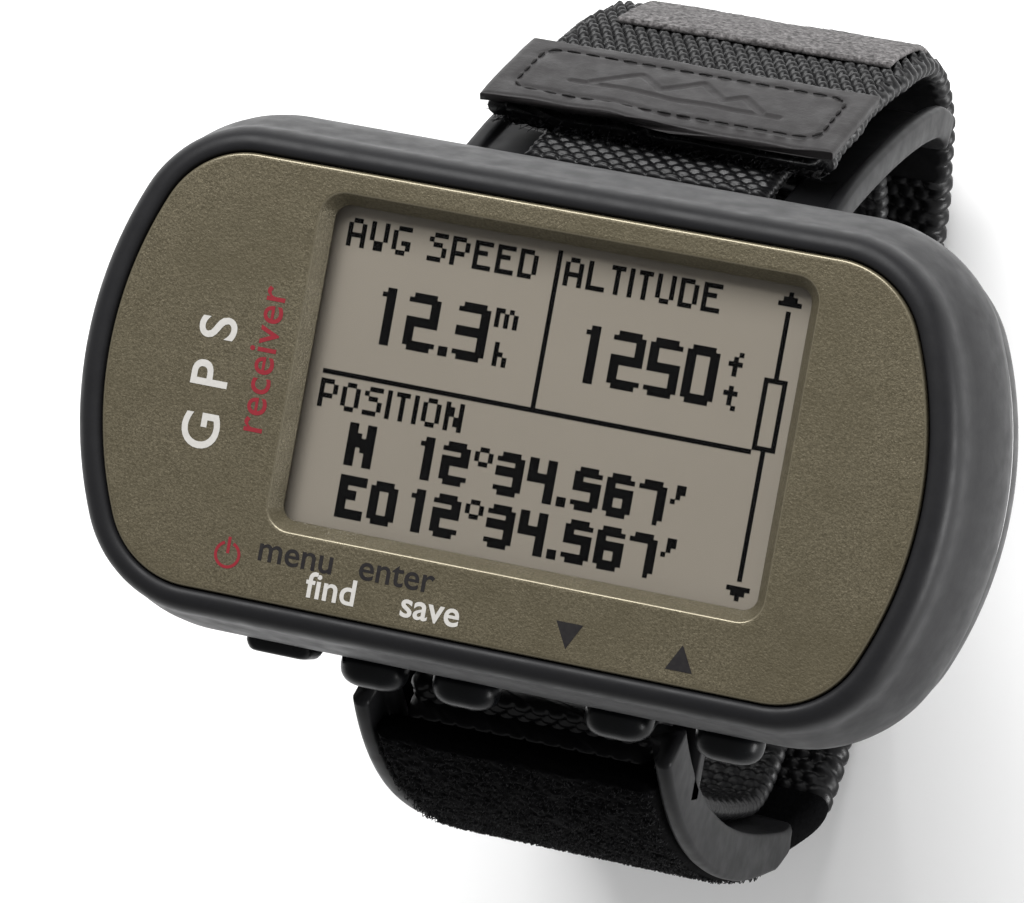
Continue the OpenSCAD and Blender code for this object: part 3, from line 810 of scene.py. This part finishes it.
def band_path(t0, t1, step, sunk=False, s_mid=0.0):
    """Angles from t0 to t1 about step mm apart along the loop, and the lengths travelled."""
    fine = np.linspace(t0, t1, 1200)
    pts = np.array([loop_pt(s_mid + (sink(t) if sunk else 0), t) for t in fine])
    run = np.concatenate([[0], np.cumsum(np.linalg.norm(np.diff(pts, axis=0), axis=1))])
    n = max(2, int(round(run[-1] / step)) + 1)
    along = np.linspace(0, run[-1], n)
    return np.interp(along, run, fine), along


def band(name, mat, t0, t1, width, s0, s1, step=0.5, cols=24, sunk=False, relief=None, under=None, x_mid=0.0,
         edge=None, round_r=None, body="case", **kw):
    """A strap layer between depths s0 (outside) and s1. relief(x, u) raises the outside and under(x, u) the inside,
    in mm; edge(u) shifts the sides, whose corners have radius round_r."""
    ts, us = band_path(t0, t1, step, sunk, (s0 + s1) / 2)
    thick, mid = (s1 - s0) / 2, (s0 + s1) / 2
    r = min(thick if round_r is None else round_r, thick)
    xs = np.linspace(-width / 2, width / 2, cols + 1)
    rings = []
    for t, u in zip(ts, us):
        deep = sink(t) if sunk else 0
        half = width / 2 - r + (edge(u) if edge else 0.0)
        flat = xs * (half / (width / 2))
        side = [(half + r * math.cos(a), mid - thick * math.sin(a)) for a in np.radians((60, 30, 0, -30, -60))]
        row = [(x, s0 - (relief(x, u) if relief else 0)) for x in flat] + side
        row += [(x, s1 + (under(x, u) if under else 0)) for x in flat[::-1]] + [(-x, s) for x, s in reversed(side)]
        rings.append([(x + x_mid, *loop_pt(s + deep, t)) for x, s in row])
    b = Build()
    b.loft(rings, caps=True)
    return b.put(name, mat, body=body, **kw)


def bricks(x, u, w, h, rise):
    """Height of a woven face: rows of bead-like bumps w wide and h long, each row half a bump along."""
    j = math.floor(u / h)
    fx = x / w + 0.5 * (j % 2)
    fx, fu = fx - math.floor(fx), u / h - j
    return rise * math.sqrt(max(0, 1 - abs(2 * fx - 1) ** 2.4 - (2 * fu - 1) ** 2))


# Angles round a three-sided and a six-sided thread
THIRDS, SIXTHS = (0, 2.09, 4.19), np.linspace(0, math.tau, 6, endpoint=False)


def grain(seed, scale, n=64):
    """A smooth random height over x and u in cells of scale mm, repeating every n cells."""
    table = np.random.default_rng(seed).uniform(-1, 1, (n, n))

    def at(x, u):
        gx, gu = x / scale, u / scale
        i, j = math.floor(gx), math.floor(gu)
        fx, fu = gx - i, gu - j
        fx, fu = fx * fx * (3 - 2 * fx), fu * fu * (3 - 2 * fu)
        i, j, i1, j1 = i % n, j % n, (i + 1) % n, (j + 1) % n
        low = table[i, j] * (1 - fx) + table[i1, j] * fx
        high = table[i, j1] * (1 - fx) + table[i1, j1] * fx
        return low * (1 - fu) + high * fu

    return at


def unit(v):
    """v with length 1."""
    return v / np.linalg.norm(v)


def pile_loops(count, t0, t1, width, s, size):
    """Small loops of thread that stand on the pile face."""
    r = np.random.default_rng(5)
    ts = band_path(t0, t1, 0.25, False, s)[0]
    b = Build()
    for _ in range(count):
        k = r.integers(0, len(ts) - 1)
        t = ts[k]
        x = r.uniform(-width / 2, width / 2)
        y0, z0 = loop_pt(s, t)
        y1, z1 = loop_pt(s, t + 0.2)
        y2, z2 = loop_pt(s - 1, t)
        along, out = unit(np.array([0, y1 - y0, z1 - z0])), unit(np.array([0, y2 - y0, z2 - z0]))
        a = r.uniform(0, math.tau)
        way = np.array([math.cos(a), 0, 0]) + along * math.sin(a)
        across = np.cross(way, out)
        high, wide, lean = size * r.uniform(0.6, 1.2), size * r.uniform(0.6, 1.3), r.uniform(-0.4, 0.4)
        base = np.array([x, y0, z0]) - out * 0.08
        rings = []
        for q in range(6):
            f = q / 5
            p = base + way * (f - 0.5) * wide + out * math.sin(math.pi * f) * high
            p += across * lean * math.sin(math.pi * f) * size
            n1 = out * math.cos(math.pi * (f - 0.5)) + way * math.sin(math.pi * (f - 0.5))
            rings.append([p + 0.038 * (n1 * math.cos(c) + across * math.sin(c)) for c in THIRDS])
        b.loft(rings, caps=True)
    b.put("pile_loops", "thread", slot="loop_pile")


def wing(name, node, width, tip, end, slot_from, foot, lips, taper):
    """Curved channel with an open slot and rims, joined to a foot under the case. It runs from angle tip to angle end;
    its slot starts slot_from degrees from the tip. foot is the y of its inner side, of the slot and of its outer side.
    lips are the heights of the rims along it and at its foot; they rise over the first taper degrees."""
    lo, hi = box_mm(node)
    half, slot, rim, foot_half = width / 2, 10.5, 1.45, (hi[0] - lo[0]) / 2
    ts = band_path(min(tip, end), max(tip, end), 0.6, True, WING_MID)[0]
    ts = ts if tip < end else ts[::-1]
    b = Build()

    def section(t, x0, x1, high, rims=(True, True)):
        """Closed section between x0 and x1, with a rim of the given height on either or both sides."""
        along = abs(t - tip)
        thin = WING_HALF * (0.35 + 0.65 * ease(along, 0, 5))
        top, bottom = WING_MID - thin, WING_MID + 0.7 * thin
        a = high * ease(along, -2, taper)
        crest = min(0.45, a * 0.4)
        low = [(0.35, bottom), (0.1, bottom - 0.1), (0, bottom - 0.4)]
        plain = low + [(0, top + 0.4), (0.1, top + 0.1), (0.35, top)]
        raised = low + [(0, top - a + crest), (0.13, top - a + 0.3 * crest), (0.45, top - a), (rim - 0.55, top - a),
                        (rim - 0.22, top - a + 0.3 * crest), (rim - 0.1, top - a + crest), (rim - 0.02, top - 0.05),
                        (rim + 0.3, top)]
        left, right = (raised if up else plain for up in rims)
        outline = [(x0 + x, s) for x, s in left] + [(x1 - x, s) for x, s in reversed(right)]
        return [(x, *loop_pt(s + sink(t), t)) for x, s in outline]

    rings = []
    for t in ts:
        if abs(t - tip) <= slot_from:
            narrow = 3.0 * (1 - math.sqrt(1 - (1 - min(1, abs(t - tip) / 8)) ** 2))
            rings.append(section(t, -half + narrow, half - narrow, lips[0]))
    b.loft(rings, caps=True)
    arms = [t for t in ts if abs(t - tip) > slot_from - 1]
    for x0, x1, rims in ((-half, -slot, (True, False)), (slot, half, (False, True))):
        heights = [lips[0] + (lips[1] - lips[0]) * ease(abs(t - tip), slot_from, slot_from + 8) for t in arms]
        b.loft([section(t, x0, x1, high, rims) for t, high in zip(arms, heights)], caps=True)
    # the foot lies under the case; it narrows beyond y_wide where the wing is narrower than it
    y_in, y_slot, y_out = foot
    y_wide = math.copysign(18.6, y_in)
    shape = [(foot_half, y_in), (foot_half, y_wide)]
    if half < foot_half:
        shape += [(half, y_wide), (half, y_out)]
    shape += [(slot, y_out), (slot, y_slot)]
    shape = np.array(shape + [(-x, y) for x, y in reversed(shape)])
    foot_low, foot_high = BACK - 1.8, BACK - 0.05
    under, over = b.loft([level(shape, foot_low), level(shape, foot_high)])
    b.plate([over])
    holes = [screw_hole(x, math.copysign(15, y_in)) for x in (-12.8, 12.8)]
    holes = [b.loft([level(hole, foot_low), level(hole, foot_low + 1)]) for hole in holes]
    b.plate([under] + [rim for rim, _ in holes])
    for _, floor in holes:
        b.f.append(tuple(floor))
    b.put(name, "plastic", replaces=[node], slot="wing_plastic")


def wide_ribs(seed, scale):
    """Relief of the wide webbing: deep ribs that wander a little."""
    waves = grain(seed, scale)
    return lambda x, u: bricks(x, u, *RIB, 0.95) - 0.55 + 0.09 * waves(x, u)


def braid(sway, at):
    """Shift of the wide webbing's braided sides."""
    return lambda u: 0.42 * abs(math.sin(math.pi * u / 1.5)) + 0.3 * sway(at, u) - 0.2


def add_strap():
    """Both wings, the inner webbing, the outer band and the suede patch."""
    wing("wing_top", "upper_wing", width=31, tip=-20, end=43, slot_from=54, foot=(12.9, 15.4, 18.6),
         lips=(0.9, 0.36), taper=8)
    wing("wing_foot", "lower_wing", width=26, tip=-164, end=-231.5, slot_from=52.5, foot=(-12.9, -15.3, -26.6),
         lips=(2.3, 2.3), taper=26)
    waves = grain(3, 2.5)

    def narrow(x, u):
        return bricks(x, u, 1.42, 0.8, 0.46) - 0.22 + 0.04 * waves(x, u)

    def plain(x, u):
        return bricks(x, u, *KNOT, 0.4) - 0.2

    def beads(u):
        return 0.26 * abs(math.sin(math.pi * u / 1.1)) - 0.1

    # inner webbing, with the loop through each slot
    web = dict(slot="nylon_webbing", edge=beads, relief=narrow)
    band("webbing_inner", "webbing", FOOT_T, 41, WEB_W, *WEB, 0.22, 84, sunk=True, under=plain,
         replaces=["strap_webbing"], **web)
    band("webbing_fold", "webbing", 29, 41, WEB_W, *FOLD, 0.13, 130, sunk=True, under=plain, **web)
    band("webbing_turn_top", "webbing", 38.7, 41.2, WEB_W, FOLD[0], 6.5, 0.2, 84, sunk=True, round_r=0.8, **web)
    band("webbing_turn_foot", "webbing", FOOT_T - 0.2, FOOT_T + 3, WEB_W, 2.65, 6.5, 0.2, 84, round_r=0.8, **web)
    band("webbing_bulge_foot", "webbing", FOOT_T - 3.5, FOOT_T + 0.1, WEB_W, 4.4, 6.4, 0.16, 110, round_r=0.9, **web)

    # outer band: pile at the foot, webbing under the wrist, ribs rising behind
    fuzz, lumps, sway = grain(7, 0.32), grain(8, 1.6), grain(9, 5)
    band_slot = dict(slot="loop_pile")
    pile_long = float(band_path(FOOT_T, PILE_T, 0.22, s_mid=1.35)[1][-1])
    band("pile_band_lower", "pile", FOOT_T, PILE_T, PILE_W, 0.1, BAND[1], 0.22, 110,
         relief=lambda x, u: 0.16 * fuzz(x, u) + 0.14 * lumps(x, u) - 0.12,
         edge=lambda u: 0.12 * sway(0, u) + (BAND_W - PILE_W) / 2 * ease(u, pile_long - 7, pile_long),
         replaces=["pile_band"], **band_slot)
    band("pile_band_under", "webbing", PILE_T - 0.2, BAND_T, BAND_W, 0.0, BAND[1], 0.2, 110,
         relief=lambda x, u: plain(x, u) - 0.2, under=plain, edge=braid(sway, 8), **band_slot)
    band("band_rise", "webbing", BAND_T - 0.2, TAIL_T - 0.05, BAND_W, *BAND, 0.15, 190,
         relief=wide_ribs(3, 2.5), edge=braid(sway, 8), **band_slot)
    pile_loops(count=6800, t0=-225, t1=-150, width=22.6, s=0.22, size=0.3)

    nap, ripple = grain(11, 0.3), grain(12, 4)
    suede = band("suede_patch", "suede", *SUEDE_T, SUEDE_W, 0.05, 0.58, 0.22, 106,
                 relief=lambda x, u: 0.05 * nap(x, u) + 0.1 * ripple(x, u) - 0.03, x_mid=0.9,
                 edge=lambda u: 0.25 * sway(12, u), replaces=["suede_panel"], slot="grey_suede")


def add_tail():
    """The strap's free end, which can be peeled off the band behind it: its webbing, with the hook tape, thread ends
    and leather tab riding on the tail body.
    """
    sway, fuzz = grain(22, 4), grain(23, 0.32)
    tail = band("tail_webbing", "webbing", TAIL_T, TIP_T, BAND_W, *BAND, 0.15, 190, relief=wide_ribs(21, 2.2),
                under=lambda x, u: 0.2 * fuzz(x, u) - 0.1, edge=braid(sway, 0), body=None,
                replaces=["strap_tail"], slot="nylon_webbing")
    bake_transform(tail)
    band("tail_hooks", "hook", 31, TIP_T - 0.6, 26, 2.62, 3.5, 0.2, 110,
         under=lambda x, u: 0.15 * fuzz(x + 9, u) - 0.05,
         edge=lambda u: 0.3 * sway(6, u), body="tail", replaces=["hook_patch"], slot="hook_tape")
    tail_fibres()
    leather_tab()


def tail_fibres():
    """Cut thread ends along the front of the strap's free end."""
    r = np.random.default_rng(41)
    b = Build()
    for _ in range(1300):
        s, x, long = r.uniform(0.9, 3.5), r.uniform(-14, 14), r.uniform(0.2, 0.75)
        y0, z0 = loop_pt(s, 37.2)
        y1, z1 = loop_pt(s, 37.9)
        way = unit(np.array([0, y1 - y0, z1 - z0]))
        down, turn, bend = r.uniform(-0.5, 0.5), r.uniform(-0.7, 0.7), r.uniform(-0.4, 0.4)
        side = np.array([1.0, 0, 0])
        up = np.cross(way, side)
        rings = []
        for q in range(5):
            f = q / 4
            at = np.array([x, y0, z0]) + way * long * f + side * (turn * f + bend * f * f) * long
            at += up * down * f * f * long
            thick = 0.05 * (1 - 0.5 * f)
            rings.append([at + thick * (side * math.cos(c) + up * math.sin(c)) for c in THIRDS])
        b.loft(rings, caps=True)
    b.put("tail_thread_ends", "thread", body="tail", slot="nylon_webbing")


TAB_PATH = band_path(27.0, 38.6, 0.2)  # angles along the tab, and mm from its rear edge
TAB_W, TAB_INSET, TAB_R = 29.0, 1.9, 1.6  # width, and inset and corner radius of the stitched outline
# Strokes of the pressed mark, from its middle
MARK = [
    ((-8.5, 1.6), (8.5, 1.6)), ((-7, 1.2), (-3.8, -1.8)), ((-3.8, -1.8), (-1.6, 0.4)), ((-1.6, 0.4), (1.2, -2.4)),
    ((1.2, -2.4), (3.6, 0.2)), ((3.6, 0.2), (5, -1.0)), ((5, -1.0), (7, 1.2)),
]


def leather_tab():
    """Leather tab with a stitched inset, a wavy front edge and a pressed mountain mark."""
    ts, us = TAB_PATH
    total, w = us[-1], TAB_W
    wave, bumps = grain(31, 4.5), grain(32, 2.5)
    cols, rows = 200, 96

    def stitch_line(x, u):
        """Distance from the stitched rounded rectangle."""
        qx = abs(x) - (w / 2 - TAB_INSET - TAB_R)
        qu = abs(u - total / 2) - (total / 2 - TAB_INSET - TAB_R)
        return abs(math.hypot(max(qx, 0), max(qu, 0)) + min(max(qx, qu), 0) - TAB_R)

    def mark(x, u):
        """Depth of the pressed mark: a row of mountain peaks on a ground line."""
        v = u - total / 2
        best = 9.0
        for (ax, av), (bx, bv) in MARK:
            dx, dv = bx - ax, bv - av
            f = min(max(((x - ax) * dx + (v - av) * dv) / (dx * dx + dv * dv), 0), 1)
            best = min(best, math.hypot(x - ax - f * dx, v - av - f * dv))
        return 0.16 * max(0, 1 - (best / 0.42) ** 4)

    def outside(x, u):
        d = stitch_line(x, u)
        edge = min(w / 2 - abs(x), u, total - u)
        h = 0.06 * bumps(x, u) + 0.03
        h -= 0.16 * math.exp(-((d / 0.35) ** 2))
        h -= 0.22 * max(0, 1 - edge / 0.5) ** 2
        return h - mark(x, u)

    rings = []
    for j in range(rows + 1):
        u0 = total * j / rows
        ring = []
        for outer in (True, False):
            for i in range(cols + 1) if outer else range(cols, -1, -1):
                x = (i / cols - 0.5) * w
                u = u0 + 0.5 * wave(x, 0) * (u0 / total) ** 2
                t = float(np.interp(min(max(u, 0), total), us, ts))
                sag = 0.28 * wave(x + 3, 5) * (u0 / total) ** 2
                ring.append((x, *loop_pt((-0.40 - outside(x, u0) if outer else 0.50) + sag, t)))
        rings.append(ring)
    b = Build()
    b.loft(rings, caps=True)
    b.put("tab_leather", "leather", body="tail", replaces=["end_tab"], slot="tab_leather")
    stitches(total)


def stitches(total):
    """Thread stitches along the inset outline of the tab."""
    ts, us = TAB_PATH
    line = rounded(TAB_W - 2 * TAB_INSET, total - 2 * TAB_INSET, TAB_R, 6, edge=40)
    line = np.vstack([line, line[:1]])
    run = np.concatenate([[0], np.cumsum(np.linalg.norm(np.diff(line, axis=0), axis=1))])
    count = int(run[-1] / 1.55)

    def on_line(at):
        """x and angle at a length along the outline."""
        u = np.interp(at, run, line[:, 1]) + total / 2
        return np.interp(at, run, line[:, 0]), float(np.interp(u, us, ts))

    b = Build()
    for k in range(count):
        rings = []
        for q in range(7):
            f = q / 6
            at = (k + 0.12 + 0.7 * f) * run[-1] / count
            (x, t), (x2, t2) = on_line(at), on_line(at + 0.05)
            depth = -0.36 - 0.09 * math.sin(math.pi * f)
            here = np.array([x, *loop_pt(depth, t)])
            out = unit(np.array([x, *loop_pt(depth - 1, t)]) - here)
            across = np.cross(unit(np.array([x2, *loop_pt(depth, t2)]) - here), out)
            thick = 0.13 * (0.55 + 0.45 * math.sin(math.pi * f))
            rings.append([here + thick * (across * math.cos(c) + out * math.sin(c)) for c in SIXTHS])
        b.loft(rings, caps=True)
    b.put("tab_stitches", "stitch", body="tail", slot="tab_leather")


# ---------- carried-over nodes ----------


def finish_nodes():
    """Looks of the nodes that are shown as packed, and rounded edges for those that are seen."""
    looks = {
        "front_case": "moulding", "backlight_guide": "guide", "lcd_frame": "black", "main_board": "board",
        "key_board": "board", "tact_switches": "tin", "shield_can": "tin", "gps_antenna": "ceramic",
        "buzzer": "black", "pressure_sensor": "tin", "usb_socket": "tin", "board_screws": "steel",
        "case_gasket": "gasket", "case_screws": "steel", "battery_left": "cell", "battery_right": "cell",
        "spring_contacts": "tin", "plate_contacts": "tin", "battery_door": "moulding", "door_gasket": "gasket",
        "door_screw": "steel", "d_ring": "ring", "usb_cap": "rubber", "wing_screws": "steel",
    }
    for name, mat in looks.items():
        obj = nodes[name]
        obj.data.materials.clear()
        obj.data.materials.append(M[mat])
    rounding = {
        "battery_door": 0.35, "usb_cap": 0.25, "door_screw": 0.15, "case_screws": 0.1, "wing_screws": 0.1,
        "plate_contacts": 0.06,
    }
    for name, width in rounding.items():
        soften(nodes[name], width)


# ---------- stage ----------


def add_stage():
    """The floor, a little under the strap."""
    b = Build()
    b.box((-1500, -1500, -20), (1500, 1500, -0.02))
    mesh = bpy.data.meshes.new("floor")
    mesh.from_pydata((np.array(b.v) * MM).tolist(), [], b.f)
    floor = add_object("floor", mesh)
    mesh.materials.append(material("floor_paper", (0.88, 0.88, 0.88), 0.9, specular=0.1,
        mottle=[(40, (0.86, 0.86, 0.86), 0.5)], bumps=[(1.5, 0.01)]))


def add_light(name, at, size, power, aim=(0, 0, 50)):
    """A rectangular softbox of size mm that faces aim."""
    data = bpy.data.lights.new(name, "AREA")
    data.shape = "RECTANGLE"
    data.size, data.size_y = size[0] * MM, size[1] * MM
    data.energy = power
    obj = add_object(name, data)
    place = Vector(at) * MM
    facing = (Vector(aim) * MM - place).to_track_quat("-Z", "Y")
    obj.matrix_world = Matrix.Translation(place) @ facing.to_matrix().to_4x4()


def add_lights():
    """A bright white room, a large softbox above and a low one at the right."""
    world = bpy.data.worlds.new("studio")
    bpy.context.scene.world = world
    world.use_nodes = True
    world.node_tree.nodes["Background"].inputs["Color"].default_value = (1, 1, 1, 1)
    world.node_tree.nodes["Background"].inputs["Strength"].default_value = 0.52
    add_light("top_softbox", (-120, 430, 500), (560, 420), 9.4)
    add_light("right_softbox", (480, -30, 58), (300, 105), 2.9)
    bpy.context.scene.view_settings.view_transform = "Standard"


add_camera()
add_stage()
add_lights()
add_bezel()
add_panel()
add_window()
add_display()
add_legends()
add_keys()
add_rear()
add_seam_highlight()
add_strap()
add_tail()
finish_nodes()
